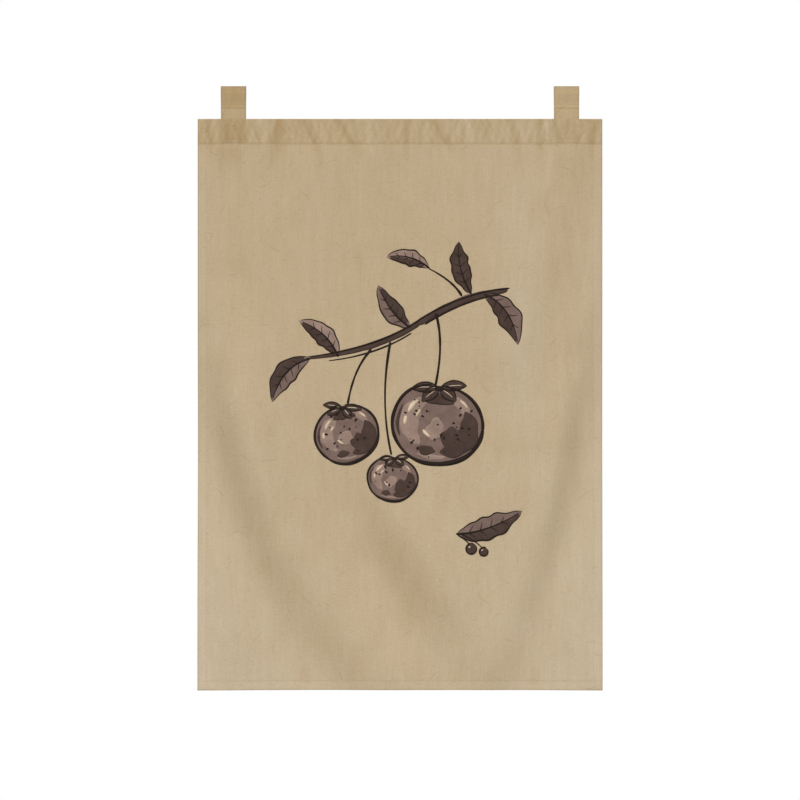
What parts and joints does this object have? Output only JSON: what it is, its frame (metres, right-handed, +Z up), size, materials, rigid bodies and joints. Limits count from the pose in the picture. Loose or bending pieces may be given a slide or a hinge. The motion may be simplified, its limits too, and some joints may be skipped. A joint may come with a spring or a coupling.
{
  "type": "noren curtain",
  "caption": "Rectangular cloth door curtain with a doubled heading band and loop tabs for a rod, hanging in soft diagonal folds.",
  "frame": {"origin": "the crest inside the tab loops, where they bear on a rod, midway between them", "axes": "+Z up, -Y towards the viewer of the printed front, +X to that viewer's right"},
  "size_m": [0.85, 0.041, 1.2693],
  "materials": {
    "cloth": "matt plain-woven cotton and linen, unbleached tan",
    "tab_cloth": "the same cloth, folded double",
    "thread": "matt tan sewing thread",
    "print": "flat brown inks printed into the weave"
  },
  "bodies": {
    "root": {"panel": "cloth", "heading": "cloth", "tab_left": "tab_cloth", "tab_right": "tab_cloth"}
  },
  "joints": []
}
